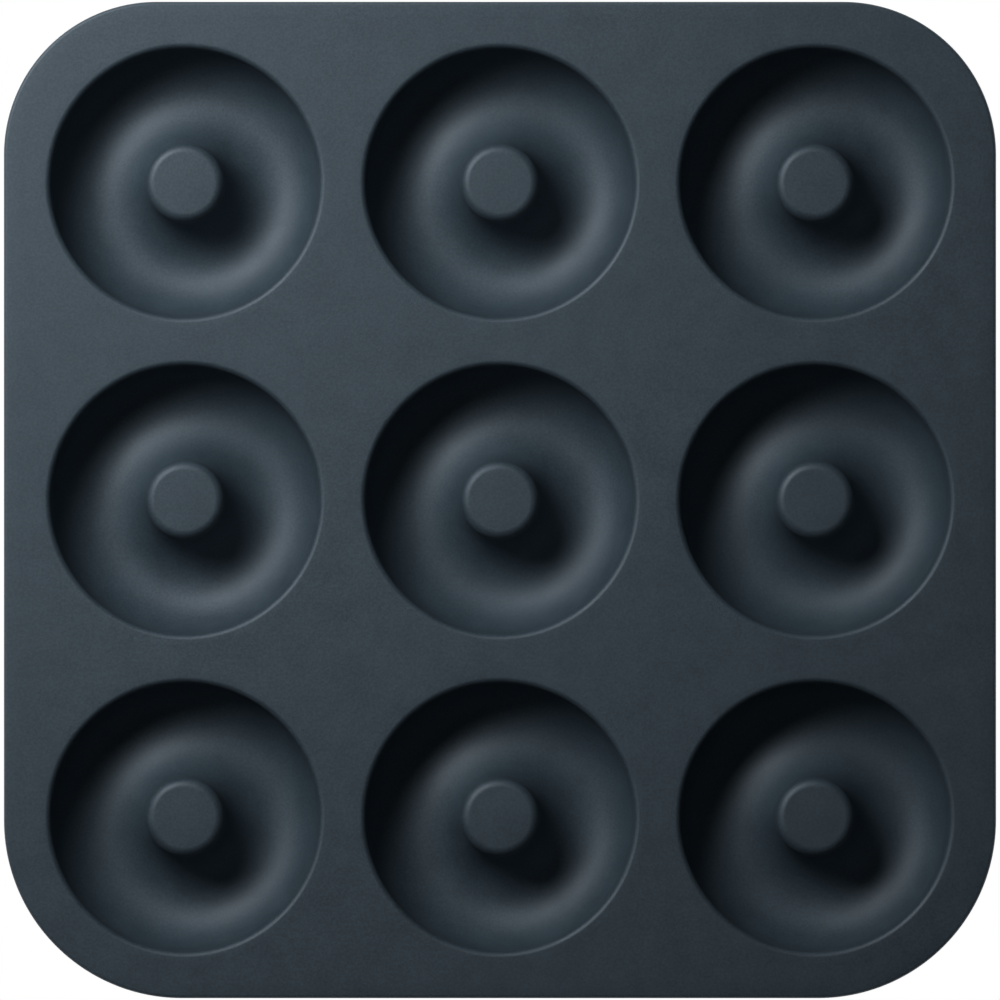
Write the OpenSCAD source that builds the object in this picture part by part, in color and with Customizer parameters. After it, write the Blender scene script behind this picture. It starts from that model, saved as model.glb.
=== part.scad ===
// Nine-cup silicone doughnut mould: a flat sheet with a turned-down edge, three rows of three
// ring-shaped cups, and a hollow flat-topped post in the middle of each cup.
// Units are millimetres. +X is right, +Y is the back, +Z is up; the feet of the cups stand on z = 0.
// The mould is one moulding. Its features are separate solids that meet face to face.

/* [Cups] */
// Width of a cup's mouth, wall to wall
cup_d = 75.8; // [64:0.2:92]
// Depth of a cup below the sheet
cup_depth = 18; // [15:0.5:30]
// Slope of the cup and post walls from upright, in degrees
wall_draft = 2.5; // [0.5:0.5:6]
// Rounding of a cup's lip
lip_r = 1.6; // [0.6:0.1:2.5]

/* [Centre posts] */
// Width of a post at the level of the sheet, before its edge is rounded
post_d = 21.8; // [17:0.2:30]
// Rounding of a post's top edge
post_r = 2.6; // [0.8:0.1:3.6]
// Thickness of a post's top
post_top_t = 2.2; // [1.5:0.1:4]

/* [Walls] */
// Thickness of the cup and post walls
wall_t = 2; // [1.4:0.1:2.6]
// Thickness of a cup's floor, less than the wall's so that the cup stands on a flat ring
floor_t = 1.8; // [1.2:0.1:1.9]
// Thickness of the flat sheet
sheet_t = 2.2; // [1.4:0.1:3.5]
// Rounding of the inside corners under the sheet
under_r = 1.5; // [0.5:0.1:2]

/* [Layout] */
// Flat sheet between the walls of neighbouring cups, left to right
web_x = 12.8; // [11:0.1:30]
// Flat sheet between the walls of neighbouring cups, front to back
web_y = 13.4; // [11:0.1:30]
// Flat sheet from an outer cup's wall to the left or right edge
side_margin = 13; // [12:0.1:30]
// Flat sheet from an outer cup's wall to the front or back edge
end_margin = 13; // [12:0.1:30]

/* [Edge] */
// Radius of the two back corners, seen from above
back_corner_r = 43; // [20:0.5:60]
// Radius of the two front corners, seen from above
front_corner_r = 50; // [20:0.5:60]
// Thickness of the turned-down edge
edge_t = 3; // [2.2:0.1:4]
// Height of the turned-down edge
edge_h = 7; // [5.5:0.1:12]
// Rounding of the edge's upper corner
edge_r = 1; // [0.4:0.1:2]

/* [Hidden] */
ROWS = ["front", "middle", "back"];
COLUMNS = ["left", "centre", "right"];
PLACES = [for (row = [0:2]) for (col = [0:2]) [row, col]];
FEATURES = ["wall", "trough", "post"];
EDGE_SIDES = ["edge_back", "edge_left", "edge_front", "edge_right"];
EDGE_TURNS = ["corner_back_right", "corner_back_left", "corner_front_left", "corner_front_right"];

slate = "#3E4850";
arc_fn = 144;
// How far a shape that cuts or fills a corner reaches past the faces that it meets
over = 0.5;
// How far two curves cross where they would otherwise only touch
tuck = 0.001;
// Flat ring that each feature keeps outside its last rounding, so that joints lie in flat sheet
land = 0.3;
// How far round the trough's curve, from its lowest line, the trough meets the wall and the post
floor_angle = 45;

// Heights
height = cup_depth + floor_t;
sheet_z = height - sheet_t;
post_under_z = height - post_top_t;

// The ring trough is a round gutter whose two walls leave it at a tangent and rise to the sheet.
// Its radius is the one that makes both walls end at their own widths on the sheet.
mouth_r = cup_d / 2;
ring_r = (cup_d + post_d) / 4;
half_gap = (cup_d - post_d) / 4;
gutter_r = (half_gap - cup_depth * tan(wall_draft))
    / (cos(wall_draft) - tan(wall_draft) * (1 - sin(wall_draft)));
gutter_z = floor_t + gutter_r;

// Distance along a flat face from a drafted corner to the start of its rounding
function round_reach(r) = r * tan((90 - wall_draft) / 2);
// The same where the wall hangs below a flat face
function hang_reach(r) = r * (1 - sin(wall_draft)) / cos(wall_draft);

// Where the outer skin of the wall meets the underside of the sheet, and of the post's top
skin_shift = wall_t / cos(wall_draft);
under_corner_r = mouth_r + skin_shift - sheet_t * tan(wall_draft);
hollow_corner_r = post_d / 2 - skin_shift + post_top_t * tan(wall_draft);
// Radius of the joint between a cup's wall and the sheet: outside the lip and the rounding below
seam_r = max(mouth_r + round_reach(lip_r), under_corner_r + hang_reach(under_r)) + land;
// Distance of the joint between the edge and the sheet from the outside
seam_inset = edge_t + under_r + land;

// Layout
pitch_x = cup_d + web_x;
pitch_y = cup_d + web_y;
tray_w = 2 * pitch_x + cup_d + 2 * side_margin;
tray_d = 2 * pitch_y + cup_d + 2 * end_margin;

function cup_node(feature, row, col) = str(feature, "_", ROWS[row], "_", COLUMNS[col]);

// Centre and radius of each rounded corner, anticlockwise from the back right
CORNERS = [
    [tray_w / 2 - back_corner_r, tray_d / 2 - back_corner_r, back_corner_r],
    [back_corner_r - tray_w / 2, tray_d / 2 - back_corner_r, back_corner_r],
    [front_corner_r - tray_w / 2, front_corner_r - tray_d / 2, front_corner_r],
    [tray_w / 2 - front_corner_r, front_corner_r - tray_d / 2, front_corner_r]
];

// ---------- outline of the tray ----------

// The outline seen from above, moved inwards by inset
module outline(inset) {
    ends = [
        for (k = [0:3])
            for (a = [90 * k, 90 * k + 90])
                let (c = CORNERS[k], r = c[2] - inset)
                    [c[0] + r * cos(a), c[1] + r * sin(a)]
    ];
    polygon(ends);
    for (c = CORNERS)
        translate([c[0], c[1]])
            circle(r = c[2] - inset, $fn = arc_fn);
}

// ---------- sections of a cup, radius across and height up ----------

// A gutter of radius r with walls that rise at the draft; shift moves the walls out with it
module gutter(r, shift) {
    dx = (r - tuck) * cos(wall_draft);
    dz = gutter_z - (r - tuck) * sin(wall_draft);
    top = height + over;
    top_x = half_gap + shift + over * tan(wall_draft);
    translate([ring_r, gutter_z])
        circle(r = r, $fn = arc_fn);
    polygon([
        [ring_r - dx, dz],
        [ring_r + dx, dz],
        [ring_r + top_x, top],
        [ring_r - top_x, top]
    ]);
}

// The space between a rounding of radius r and the corner where a wall meets a flat face above it.
// centre is the rounding's centre, below the face; side is 1 where it lies outside the wall and
// -1 where it lies inside. It cuts a lip where the centre is in the solid, and fills a corner
// where the centre is in the air.
module corner_gap(corner, centre, r, side) {
    reach = r + over;
    ends = [
        centre,
        centre + [0, reach],
        corner + [-side * over, over],
        centre + reach * [-side * cos(wall_draft), sin(wall_draft)]
    ];
    difference() {
        // taken anticlockwise on either side
        polygon(side > 0 ? ends : [for (i = [3:-1:0]) ends[i]]);
        translate(centre)
            circle(r = r + tuck, $fn = arc_fn);
    }
}

// What rounding takes off the corner where a wall rises to the top face
module lip_cut(corner_x, r, side)
    corner_gap([corner_x, height], [corner_x + side * round_reach(r), height - r], r, side);

// What rounding adds in the corner where a wall hangs from a flat face
module root_fill(corner_x, face_z, r, side)
    corner_gap([corner_x, face_z], [corner_x + side * hang_reach(r), face_z - r], r, side);

// The air inside the trough
module trough_air() {
    gutter(gutter_r, 0);
    lip_cut(mouth_r, lip_r, 1);
    lip_cut(post_d / 2, post_r, -1);
}

// The trough with its wall, filled
module trough_skin() {
    gutter(gutter_r + wall_t, skin_shift);
}

// The skin and air below the gutter's centre, out to floor_angle on either side
module floor_sector() {
    reach = (gutter_r + wall_t + over) / cos(floor_angle);
    polygon([
        [ring_r, gutter_z],
        [ring_r - reach * sin(floor_angle), gutter_z - reach * cos(floor_angle)],
        [ring_r + reach * sin(floor_angle), gutter_z - reach * cos(floor_angle)]
    ]);
}

// A band of the section between two radii, from the ground to the top of the sheet
module band(r_in, r_out) {
    translate([r_in, 0])
        square([r_out - r_in, height]);
}

module wall_section() {
    difference() {
        union() {
            intersection() {
                trough_skin();
                band(ring_r, seam_r);
            }
            translate([mouth_r, sheet_z])
                square([seam_r - mouth_r, sheet_t]);
            root_fill(under_corner_r, sheet_z, under_r, 1);
        }
        trough_air();
        floor_sector();
    }
}

module trough_section() {
    difference() {
        intersection() {
            trough_skin();
            floor_sector();
            band(0, seam_r);
        }
        trough_air();
    }
}

module post_section() {
    difference() {
        union() {
            intersection() {
                trough_skin();
                band(0, ring_r);
            }
            translate([0, post_under_z])
                square([post_d / 2, post_top_t]);
            root_fill(hollow_corner_r, post_under_z, under_r, -1);
        }
        trough_air();
        floor_sector();
    }
}

// ---------- section of the turned-down edge, inset across and height up ----------

module edge_section() {
    half_t = edge_t / 2;
    low_z = height - edge_h;
    // rounded lower half of the edge
    translate([half_t, low_z + half_t])
        circle(d = edge_t, $fn = arc_fn);
    // rounded upper corner
    translate([edge_r, height - edge_r])
        circle(r = edge_r, $fn = arc_fn);
    translate([0, low_z + half_t])
        square([edge_t, edge_h - half_t - edge_r]);
    translate([edge_r, sheet_z])
        square([seam_inset - edge_r, sheet_t]);
    // inside corner under the sheet
    difference() {
        translate([edge_t, sheet_z - under_r])
            square(under_r);
        translate([edge_t + under_r, sheet_z - under_r])
            circle(r = under_r, $fn = arc_fn);
    }
}

// ---------- the moulding's features ----------

// The flat sheet, with a round opening for each cup
module deck() {
    color(slate)
        translate([0, 0, sheet_z])
            linear_extrude(sheet_t)
                difference() {
                    outline(seam_inset);
                    for (p = PLACES)
                        translate(place(p[0], p[1]))
                            circle(r = seam_r, $fn = arc_fn);
                }
}

// One side of the turned-down edge, as a straight strip from corner k to the next
module edge_side(k) {
    corner = CORNERS[k];
    next = CORNERS[(k + 1) % 4];
    run = k % 2 == 0 ? corner[0] - next[0] : corner[1] - next[1];
    color(slate)
        translate([corner[0], corner[1], 0])
            rotate(90 * k)
                translate([0, corner[2], 0])
                    rotate([90, 0, -90])
                        linear_extrude(abs(run))
                            edge_section();
}

// The same edge carried a quarter turn round corner k
module edge_turn(k) {
    corner = CORNERS[k];
    color(slate)
        translate([corner[0], corner[1], 0])
            rotate(90 * k)
                rotate_extrude(angle = 90, $fn = arc_fn)
                    translate([corner[2], 0])
                        mirror([1, 0])
                            edge_section();
}

// Each feature of a cup is its own section turned about the cup's centre.
// wall: the rounded lip, the side wall and the outer shoulder of the trough
// trough: the rounded floor ring, flat below where the mould stands on it
// post: the flat top, the post's wall and the inner shoulder of the trough, open from below
module cup_feature(feature) {
    color(slate)
        rotate_extrude($fn = arc_fn) {
            if (feature == "wall") wall_section();
            if (feature == "trough") trough_section();
            if (feature == "post") post_section();
        }
}

// Centre of the cup in a row and a column
function place(row, col) = [(col - 1) * pitch_x, (row - 1) * pitch_y];

deck();
for (k = [0:3]) {
    edge_side(k);
    edge_turn(k);
}
for (feature = FEATURES) {
    for (p = PLACES) {
        translate(place(p[0], p[1]))
                cup_feature(feature);
    }
}
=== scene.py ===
import math

import bmesh
import bpy
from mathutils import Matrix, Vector


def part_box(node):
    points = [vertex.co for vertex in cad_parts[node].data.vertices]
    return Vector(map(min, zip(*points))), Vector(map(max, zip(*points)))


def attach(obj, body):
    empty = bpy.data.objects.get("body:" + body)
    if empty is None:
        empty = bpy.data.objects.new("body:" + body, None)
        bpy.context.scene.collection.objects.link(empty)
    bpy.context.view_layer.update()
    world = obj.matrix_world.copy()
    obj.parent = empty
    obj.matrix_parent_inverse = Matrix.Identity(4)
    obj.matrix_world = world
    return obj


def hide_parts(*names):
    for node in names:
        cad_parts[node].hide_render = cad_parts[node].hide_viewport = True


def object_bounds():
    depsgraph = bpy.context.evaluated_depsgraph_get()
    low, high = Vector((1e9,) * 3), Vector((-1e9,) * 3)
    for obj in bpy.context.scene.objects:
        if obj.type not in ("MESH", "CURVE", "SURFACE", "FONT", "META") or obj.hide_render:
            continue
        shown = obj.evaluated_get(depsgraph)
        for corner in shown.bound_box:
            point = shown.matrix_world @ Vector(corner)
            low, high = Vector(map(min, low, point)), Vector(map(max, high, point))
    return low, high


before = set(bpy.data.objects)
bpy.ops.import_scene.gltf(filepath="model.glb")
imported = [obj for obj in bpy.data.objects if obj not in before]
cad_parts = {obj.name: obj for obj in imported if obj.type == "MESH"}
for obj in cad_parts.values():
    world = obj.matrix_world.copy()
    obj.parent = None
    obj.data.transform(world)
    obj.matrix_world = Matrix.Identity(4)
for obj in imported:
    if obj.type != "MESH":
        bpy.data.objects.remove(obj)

cad_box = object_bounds()
MM = 0.001

# ---------- sizes of the moulding, in millimetres ----------
# The cups' places, the height, and where the sheet meets the cups and the edge come from the frame.

DRAFT = 2.5             # slope of every wall from upright, in degrees
CUP_MOUTH = 75.8        # width of a cup, wall to wall
LIP_ROUND = 1.6
POST_WIDTH = 21.8       # width of a centre post before its edge is rounded
POST_ROUND = 2.6
POST_TOP = 2.2          # thickness of a post's flat top
WALL = 2.0
FLOOR = 1.8
SHEET = 2.2
ROOT_ROUND = 1.5        # inside corners under the sheet and the post tops
BACK_CORNER = 43.0      # radii of the tray's corners, seen from above
FRONT_CORNER = 50.0
EDGE = 3.0              # the turned-down edge: thickness, height and upper rounding
EDGE_HEIGHT = 7.0
EDGE_ROUND = 1.0

# ---------- how finely it is drawn ----------

TURNS = 192             # steps round a cup
CORNER_STEPS = 48       # steps round each corner of the tray
ROOT_STEPS = 8          # the rest are steps along the arcs of the sections
LIP_STEPS = 14
TROUGH_STEPS = 84
SKIN_STEPS = 34         # each flank of the trough's outer skin
EDGE_ROUND_STEPS = 10
EDGE_FOOT_STEPS = 20

SWEEP_RADIUS = 10 * MM  # of the circle that a cup's section is carried round
MERGE = 1e-6            # points closer than this, in metres, are one point
SLIVER = 1e-7           # edges shorter than this are taken out
SHARP = 25              # faces that meet at more degrees than this keep a sharp edge

# ---------- where the frame puts things ----------

ROWS = ("front", "middle", "back")
COLUMNS = ("left", "centre", "right")
PLACES = [f"{row}_{column}" for row in ROWS for column in COLUMNS]
SIDES = ("back", "left", "front", "right")
CORNERS = ("back_right", "back_left", "front_left", "front_right")

height = cad_box[1].z
sheet_low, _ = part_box("deck")
sheet_inset = sheet_low.x - cad_box[0].x
wall_low, wall_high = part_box("wall_middle_centre")
seam_radius = (wall_high.x - wall_low.x) / 2


def cup_centre(place):
    """Middle of a cup, from its wall in the frame, on the ground."""
    low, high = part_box(f"wall_{place}")
    return Vector(((low.x + high.x) / 2, (low.y + high.y) / 2, 0))


# ---------- sections, as lists of (across, up) in metres ----------

def arc(centre, radius, start, end, steps):
    """Points along an arc, from one angle to another in degrees, both ends included."""
    turns = [math.radians(start + (end - start) * i / steps) for i in range(steps + 1)]
    return [(centre[0] + radius * math.cos(t), centre[1] + radius * math.sin(t)) for t in turns]


def flat_reach(radius):
    """Along a flat face, from a drafted corner to where its rounding starts."""
    return radius * math.tan(math.radians((90 - DRAFT) / 2))


def hang_reach(radius):
    """The same where a wall hangs below a flat face."""
    slope = math.radians(DRAFT)
    return radius * (1 - math.sin(slope)) / math.cos(slope)


def cup_section():
    """A cup's whole wall, from the middle of the post's underside round to the middle of its top."""
    slope = math.radians(DRAFT)
    mouth, post, wall = CUP_MOUTH / 2 * MM, POST_WIDTH / 2 * MM, WALL * MM
    lip, crown, root = LIP_ROUND * MM, POST_ROUND * MM, ROOT_ROUND * MM
    floor, sheet, top = FLOOR * MM, SHEET * MM, POST_TOP * MM
    ring = (mouth + post) / 2
    half_gap = (mouth - post) / 2
    # the trough is round, and its radius makes both walls end at their own widths on the sheet
    trough = (half_gap - (height - floor) * math.tan(slope)) / (
        math.cos(slope) - math.tan(slope) * (1 - math.sin(slope)))
    middle = (ring, floor + trough)
    skin = trough + wall
    # the skin is cut off level with the ground, at this angle below its middle
    foot = math.degrees(math.asin(middle[1] / skin))
    shift = wall / math.cos(slope)
    under_wall = mouth + shift - sheet * math.tan(slope)
    under_post = post - shift + top * math.tan(slope)
    # middles of the four roundings: under the post's top, under the sheet, the lip, the post's edge
    hollow = (under_post - hang_reach(root), height - top - root)
    armpit = (under_wall + hang_reach(root), height - sheet - root)
    brim = (mouth + flat_reach(lip), height - lip)
    shoulder = (post - flat_reach(crown), height - crown)
    below = (
        [(0, height - top)]
        + arc(hollow, root, 90, DRAFT, ROOT_STEPS)
        + arc(middle, skin, 180 + DRAFT, 180 + foot, SKIN_STEPS)
        + arc(middle, skin, 360 - foot, 360 - DRAFT, SKIN_STEPS)
        + arc(armpit, root, 180 - DRAFT, 90, ROOT_STEPS)
        + [(seam_radius, height - sheet)]
    )
    above = (
        [(seam_radius, height)]
        + arc(brim, lip, 90, 180 - DRAFT, LIP_STEPS)
        + arc(middle, trough, -DRAFT, -180 + DRAFT, TROUGH_STEPS)
        + arc(shoulder, crown, DRAFT, 90, LIP_STEPS)
        + [(0, height)]
    )
    return below + above


def edge_section():
    """The turned-down edge all round, as a closed loop: inset from the outside, and height."""
    thick, half, root = EDGE * MM, EDGE / 2 * MM, ROOT_ROUND * MM
    low = height - EDGE_HEIGHT * MM + half
    shelf = height - SHEET * MM
    rounding = EDGE_ROUND * MM
    return (
        [(sheet_inset, height)]
        + arc((rounding, height - rounding), rounding, 90, 180, EDGE_ROUND_STEPS)
        + arc((half, low), half, 180, 360, EDGE_FOOT_STEPS)
        + arc((thick + root, shelf - root), root, 180, 90, ROOT_STEPS)
        + [(sheet_inset, shelf)]
    )


def outline(inset):
    """The tray's outline seen from above, moved inwards, anticlockwise from the right."""
    across, deep = cad_box[1].x, cad_box[1].y
    corners = (
        (1, 1, BACK_CORNER),
        (-1, 1, BACK_CORNER),
        (-1, -1, FRONT_CORNER),
        (1, -1, FRONT_CORNER),
    )
    points = []
    for quarter, (side, end, radius) in enumerate(corners):
        radius *= MM
        centre = (side * (across - radius), end * (deep - radius))
        points += arc(centre, radius - inset, 90 * quarter, 90 * quarter + 90, CORNER_STEPS)
    return points


# ---------- node trees ----------

def add(tree, kind, settings=None, links=None):
    """One node, with its settings and its incoming links: {input: value} and {input: socket}."""
    node = tree.nodes.new(kind)
    for key, value in (settings or {}).items():
        if isinstance(key, str) and hasattr(node, key):
            setattr(node, key, value)
        else:
            node.inputs[key].default_value = value
    for key, socket in (links or {}).items():
        tree.links.new(socket, node.inputs[key])
    return node


def shape_tree(name, inputs):
    """An empty Geometry Nodes tree with named inputs: {name: socket type}."""
    tree = bpy.data.node_groups.new(name, "GeometryNodeTree")
    tree.interface.new_socket("Geometry", in_out="INPUT", socket_type="NodeSocketGeometry")
    for key, kind in inputs.items():
        tree.interface.new_socket(key, in_out="INPUT", socket_type=kind)
    tree.interface.new_socket("Geometry", in_out="OUTPUT", socket_type="NodeSocketGeometry")
    return tree, add(tree, "NodeGroupInput").outputs


def end_tree(tree, shape, material):
    """Ends a tree: plain geometry, one material."""
    real = add(tree, "GeometryNodeRealizeInstances", links={"Geometry": shape})
    painted = add(tree, "GeometryNodeSetMaterial", {"Material": material}, {"Geometry": real.outputs[0]})
    add(tree, "NodeGroupOutput", links={0: painted.outputs[0]})


def turned_tree(material):
    """Turns a section about an upright axis and stands it in its place."""
    tree, given = shape_tree("turned_section", {
        "Steps": "NodeSocketInt",
        "Sweep Radius": "NodeSocketFloat",
        "Place": "NodeSocketVector",
    })
    section = add(tree, "GeometryNodeMeshToCurve", links={"Mesh": given["Geometry"]})
    ring = add(tree, "GeometryNodeCurvePrimitiveCircle",
               links={"Resolution": given["Steps"], "Radius": given["Sweep Radius"]})
    swept = add(tree, "GeometryNodeCurveToMesh",
                links={"Curve": ring.outputs["Curve"], "Profile Curve": section.outputs[0]})
    poles = add(tree, "GeometryNodeMergeByDistance", {"Distance": MERGE}, {"Geometry": swept.outputs[0]})
    placed = add(tree, "GeometryNodeTransform",
                 links={"Geometry": poles.outputs[0], "Translation": given["Place"]})
    end_tree(tree, placed.outputs[0], material)
    return tree


def sheet_tree(material):
    """Fills an outline less a grid of round openings, and gives the sheet its thickness."""
    tree, given = shape_tree("pierced_sheet", {
        "Opening": "NodeSocketFloat",
        "Steps": "NodeSocketInt",
        "Spacing X": "NodeSocketFloat",
        "Spacing Y": "NodeSocketFloat",
        "Thickness": "NodeSocketFloat",
        "Top": "NodeSocketFloat",
    })
    rim = add(tree, "GeometryNodeMeshToCurve", links={"Mesh": given["Geometry"]})
    # three points across and three deep span two spacings each way
    wide = add(tree, "ShaderNodeMath", {"operation": "MULTIPLY", 1: 2.0}, {0: given["Spacing X"]})
    deep = add(tree, "ShaderNodeMath", {"operation": "MULTIPLY", 1: 2.0}, {0: given["Spacing Y"]})
    grid = add(tree, "GeometryNodeMeshGrid", {"Vertices X": 3, "Vertices Y": 3},
               {"Size X": wide.outputs[0], "Size Y": deep.outputs[0]})
    opening = add(tree, "GeometryNodeCurvePrimitiveCircle",
                  links={"Resolution": given["Steps"], "Radius": given["Opening"]})
    openings = add(tree, "GeometryNodeInstanceOnPoints",
                   links={"Points": grid.outputs["Mesh"], "Instance": opening.outputs["Curve"]})
    loose = add(tree, "GeometryNodeRealizeInstances", links={"Geometry": openings.outputs[0]})
    loops = add(tree, "GeometryNodeJoinGeometry", links={0: rim.outputs[0]})
    tree.links.new(loose.outputs[0], loops.inputs[0])
    face = add(tree, "GeometryNodeFillCurve", {"mode": "TRIANGLES"}, {"Curve": loops.outputs[0]})
    down = add(tree, "ShaderNodeMath", {"operation": "MULTIPLY", 1: -1.0}, {0: given["Thickness"]})
    thick = add(tree, "GeometryNodeExtrudeMesh", {"Offset": (0, 0, 1), "Individual": False},
                {"Mesh": face.outputs[0], "Offset Scale": down.outputs[0]})
    both = add(tree, "GeometryNodeJoinGeometry", links={0: thick.outputs[0]})
    tree.links.new(face.outputs[0], both.inputs[0])
    lift = add(tree, "ShaderNodeCombineXYZ", links={"Z": given["Top"]})
    placed = add(tree, "GeometryNodeTransform",
                 links={"Geometry": both.outputs[0], "Translation": lift.outputs[0]})
    merged = add(tree, "GeometryNodeMergeByDistance", {"Distance": MERGE}, {"Geometry": placed.outputs[0]})
    end_tree(tree, merged.outputs[0], material)
    return tree


def loop_mesh(name, points, closed=True):
    """A flat mesh of edges through these points."""
    count = len(points)
    edges = [(i, i + 1) for i in range(count - 1)] + ([(count - 1, 0)] if closed else [])
    mesh = bpy.data.meshes.new(name)
    mesh.from_pydata([(*point, 0) for point in points], edges, [])
    return mesh


def grow(name, start, tree, values):
    """The tree's result on a starting mesh, as a plain object at the origin."""
    piece = bpy.data.objects.new(name, start)
    bpy.context.scene.collection.objects.link(piece)
    modifier = piece.modifiers.new("shape", "NODES")
    modifier.node_group = tree
    for socket in tree.interface.items_tree:
        if socket.name in values:
            modifier[socket.identifier] = values[socket.name]
    shaped = piece.evaluated_get(bpy.context.evaluated_depsgraph_get())
    mesh = bpy.data.meshes.new_from_object(shaped)
    piece.modifiers.clear()
    piece.data = mesh
    mesh.name = name
    return piece


def finish_piece(piece, *nodes):
    """Closes a piece, turns its faces outwards, keeps its sharp corners, and puts it in the frame."""
    work = bmesh.new()
    work.from_mesh(piece.data)
    bmesh.ops.remove_doubles(work, verts=work.verts, dist=MERGE)
    bmesh.ops.dissolve_degenerate(work, edges=work.edges, dist=SLIVER)
    bmesh.ops.recalc_face_normals(work, faces=work.faces)
    for face in work.faces:
        face.smooth = True
    for edge in work.edges:
        edge.smooth = len(edge.link_faces) == 2 and edge.calc_face_angle() < math.radians(SHARP)
    work.to_mesh(piece.data)
    work.free()
    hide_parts(*nodes)
    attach(piece, "root")


# ---------- material ----------

# What repeats in the surface, in millimetres. The blasted grain of a real mould is about 0.2 mm,
# which is too fine to show, so the grain and its pits are drawn as coarse as they need to be seen.
GRAIN = 0.7
PITS = 0.6
CLOUDS = 9.0            # where the pigment is thicker or thinner
DRIFT = 70.0            # slow change of the pigment over the tray
GRAIN_HEIGHT = 0.04
PIT_DEPTH = 0.03


def linear(hex_colour):
    """An sRGB hex colour as linear red, green, blue and alpha."""
    parts = [int(hex_colour[i:i + 2], 16) / 255 for i in (1, 3, 5)]
    return (*[c / 12.92 if c <= 0.04045 else ((c + 0.055) / 1.055) ** 2.4 for c in parts], 1)


def moulded_silicone():
    """Platinum-cured silicone rubber, pigmented slate grey and pressed in a fine-blasted steel mould.

    The blasting leaves an even grain, which breaks the gloss into a soft satin. The pigment is
    mixed into clear gum, so its depth drifts a little.
    """
    material = bpy.data.materials.new("slate_moulded_silicone")
    material.use_nodes = True
    tree = material.node_tree
    tree.nodes.clear()
    spot = add(tree, "ShaderNodeTexCoord").outputs["Object"]
    grain = add(tree, "ShaderNodeTexNoise", {"Scale": 1 / (GRAIN * MM), "Detail": 1.0, "Roughness": 0.5},
                {"Vector": spot})
    pits = add(tree, "ShaderNodeTexVoronoi", {"Scale": 1 / (PITS * MM), "Randomness": 1.0},
               {"Vector": spot})
    cloud = add(tree, "ShaderNodeTexNoise", {"Scale": 1 / (CLOUDS * MM), "Detail": 3.0, "Roughness": 0.55},
                {"Vector": spot})
    drift = add(tree, "ShaderNodeTexNoise", {"Scale": 1 / (DRIFT * MM), "Detail": 1.0}, {"Vector": spot})

    # colour: grain and clouds run between a deep and a pale slate, and the drift adds a cooler one
    shade = add(tree, "ShaderNodeMath", {"operation": "MULTIPLY_ADD", 1: 0.5},
                {0: cloud.outputs["Fac"], 2: grain.outputs["Fac"]})
    tone = add(tree, "ShaderNodeMapRange", {"From Min": 0.45, "From Max": 1.05}, {"Value": shade.outputs[0]})
    pigment = add(tree, "ShaderNodeMix", {"data_type": "RGBA"}, {0: tone.outputs[0]})
    pigment.inputs[6].default_value = linear("#28353E")
    pigment.inputs[7].default_value = linear("#3B4A54")
    spread = add(tree, "ShaderNodeMapRange", {"From Min": 0.3, "From Max": 0.7, "To Max": 0.3},
                 {"Value": drift.outputs["Fac"]})
    cool = add(tree, "ShaderNodeMix", {"data_type": "RGBA"}, {0: spread.outputs[0], 6: pigment.outputs[2]})
    cool.inputs[7].default_value = linear("#32424C")

    # gloss and grain: an even satin, a little duller where the clouds are paler
    satin = add(tree, "ShaderNodeMapRange",
                {"From Min": 0.3, "From Max": 0.7, "To Min": 0.55, "To Max": 0.61},
                {"Value": cloud.outputs["Fac"]})
    coarse = add(tree, "ShaderNodeBump", {"Strength": 0.4, "Distance": GRAIN_HEIGHT * MM},
                 {"Height": grain.outputs["Fac"]})
    fine = add(tree, "ShaderNodeBump", {"Strength": 0.25, "Distance": PIT_DEPTH * MM},
               {"Height": pits.outputs["Distance"], "Normal": coarse.outputs[0]})
    # cured silicone has an index of about 1.43, and its sheen is stronger and bluer than that gives
    surface = add(tree, "ShaderNodeBsdfPrincipled",
                  {"IOR": 1.5, "Specular IOR Level": 0.9, "Specular Tint": (0.79, 0.89, 1, 1)},
                  {"Base Color": cool.outputs[2], "Roughness": satin.outputs[0], "Normal": fine.outputs[0]})
    add(tree, "ShaderNodeOutputMaterial", links={"Surface": surface.outputs[0]})
    return material


silicone = moulded_silicone()

# ---------- the moulding ----------

# A cup's section starts on the axis, one sweep radius inside the circle that it is carried round.
# The sweep turns it upside down, so its heights are given downwards.
cup_start = loop_mesh(
    "cup_section", [(across - SWEEP_RADIUS, -up) for across, up in cup_section()], closed=False)
turned = turned_tree(silicone)
for place in PLACES:
    cup = grow(f"cup_{place}", cup_start, turned, {
        "Sweep Radius": SWEEP_RADIUS, "Steps": TURNS, "Place": cup_centre(place),
    })
    finish_piece(cup, f"wall_{place}", f"trough_{place}", f"post_{place}")

# The middle cup stands at the origin, so the back right one is one spacing away each way.
spacing = cup_centre("back_right")
sheet = grow("top_sheet", loop_mesh("sheet_outline", outline(sheet_inset)), sheet_tree(silicone), {
    "Opening": seam_radius, "Steps": TURNS, "Spacing X": spacing.x, "Spacing Y": spacing.y,
    "Thickness": SHEET * MM, "Top": height,
})
finish_piece(sheet, "deck")


def turned_edge():
    """The edge's section carried round the outline, with its own place at every corner step."""
    section = edge_section()
    paths = [outline(inset) for inset, _ in section]
    wide, count = len(section), len(paths[0])
    points = [(*paths[k][i], section[k][1]) for i in range(count) for k in range(wide)]
    faces = []
    for i in range(count):
        here, ahead = i * wide, (i + 1) % count * wide
        for k in range(wide):
            beside = (k + 1) % wide
            faces.append((here + k, here + beside, ahead + beside, ahead + k))
    mesh = bpy.data.meshes.new("turned_edge")
    mesh.from_pydata(points, [], faces)
    mesh.materials.append(silicone)
    piece = bpy.data.objects.new("turned_edge", mesh)
    bpy.context.scene.collection.objects.link(piece)
    return piece


finish_piece(turned_edge(), *[f"edge_{side}" for side in SIDES], *[f"corner_{turn}" for turn in CORNERS])

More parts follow.
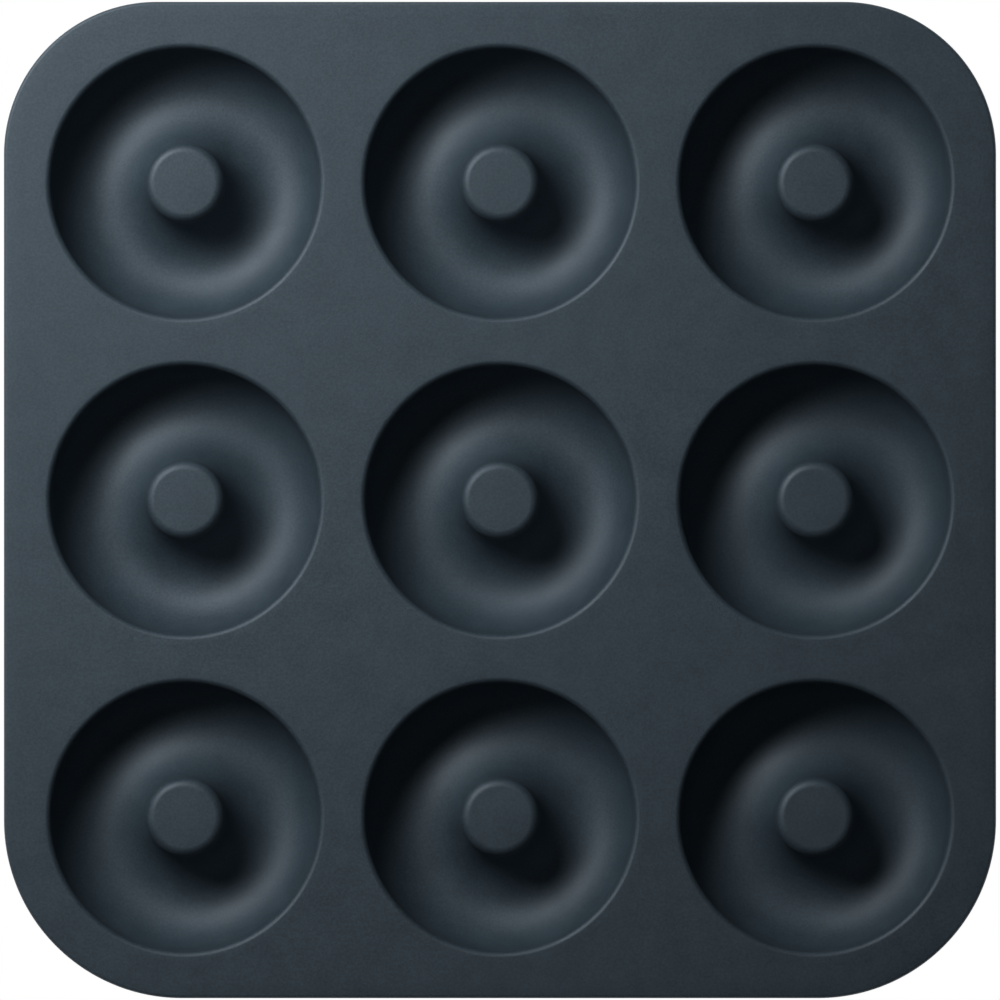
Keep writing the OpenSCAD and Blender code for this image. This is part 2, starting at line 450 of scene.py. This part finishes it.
# ---------- floor, light and camera: metres, and angles in degrees ----------

FLOOR_REACH = 8         # of the light table, each way from the middle
LAMP_WIDTH = 0.58
LAMP_AWAY = 0.95        # from the middle of the tray
LAMP_RISE = 41.5        # above the floor
LAMP_TURN = 44.4        # from straight behind the tray, towards its left
LAMP_AIM = 0.23         # how far short of the middle it points, which dims the light to the front
LAMP_SPREAD = 66        # of the honeycomb in front of it
LAMP_ENERGY = 1.4
FILL = 0.034            # strength of the even light from all round
WHITE = 1.0             # strength that shows the table and the backdrop as plain white
CAMERA_HEIGHT = 2.4
CAMERA_SENSOR = 36      # millimetres
VIEW_WIDTH = 0.2811     # what the picture spans at the height of the tray's top


def light_table():
    """A wide floor that glows white."""
    glowing = bpy.data.materials.new("light_table")
    glowing.use_nodes = True
    glowing.node_tree.nodes.clear()
    glow = add(glowing.node_tree, "ShaderNodeEmission", {"Color": (1, 1, 1, 1), "Strength": WHITE})
    add(glowing.node_tree, "ShaderNodeOutputMaterial", links={"Surface": glow.outputs[0]})
    mesh = bpy.data.meshes.new("floor")
    corners = ((-1, -1), (1, -1), (1, 1), (-1, 1))
    mesh.from_pydata([(x * FLOOR_REACH, y * FLOOR_REACH, 0) for x, y in corners], [], [(0, 1, 2, 3)])
    mesh.materials.append(glowing)
    table = bpy.data.objects.new("floor", mesh)
    bpy.context.scene.collection.objects.link(table)


def backdrop():
    """White where the camera sees it, and a weak even fill as a light."""
    world = bpy.data.worlds.new("studio")
    world.use_nodes = True
    bpy.context.scene.world = world
    tree = world.node_tree
    tree.nodes.clear()
    seen = add(tree, "ShaderNodeLightPath").outputs["Is Camera Ray"]
    fill = add(tree, "ShaderNodeBackground", {"Color": (1, 1, 1, 1), "Strength": FILL})
    wall = add(tree, "ShaderNodeBackground", {"Color": (1, 1, 1, 1), "Strength": WHITE})
    both = add(tree, "ShaderNodeMixShader", links={0: seen, 1: fill.outputs[0], 2: wall.outputs[0]})
    add(tree, "ShaderNodeOutputWorld", links={"Surface": both.outputs[0]})


def softbox():
    """A soft round lamp high at the back left."""
    lamp = bpy.data.lights.new("softbox", "AREA")
    lamp.shape = "DISK"
    lamp.size = LAMP_WIDTH
    lamp.spread = math.radians(LAMP_SPREAD)
    lamp.energy = LAMP_ENERGY
    stand = bpy.data.objects.new("softbox", lamp)
    bpy.context.scene.collection.objects.link(stand)
    rise, turn = math.radians(LAMP_RISE), math.radians(LAMP_TURN)
    towards = Vector((-math.sin(turn), math.cos(turn), 0))
    stand.location = (towards * math.cos(rise) + Vector((0, 0, math.sin(rise)))) * LAMP_AWAY
    stand.rotation_mode = "QUATERNION"
    stand.rotation_quaternion = (towards * LAMP_AIM - stand.location).to_track_quat("-Z", "Y")


def camera_overhead():
    """A long lens straight above, which takes in the tray and a narrow margin."""
    lens = bpy.data.cameras.new("camera")
    lens.sensor_width = CAMERA_SENSOR
    lens.lens = CAMERA_SENSOR * (CAMERA_HEIGHT - height) / VIEW_WIDTH
    lens.clip_start, lens.clip_end = 0.05, 50
    camera = bpy.data.objects.new("camera", lens)
    bpy.context.scene.collection.objects.link(camera)
    camera.location = (0, 0, CAMERA_HEIGHT)
    bpy.context.scene.camera = camera


light_table()
backdrop()
softbox()
camera_overhead()
bpy.context.scene.view_settings.view_transform = "Standard"
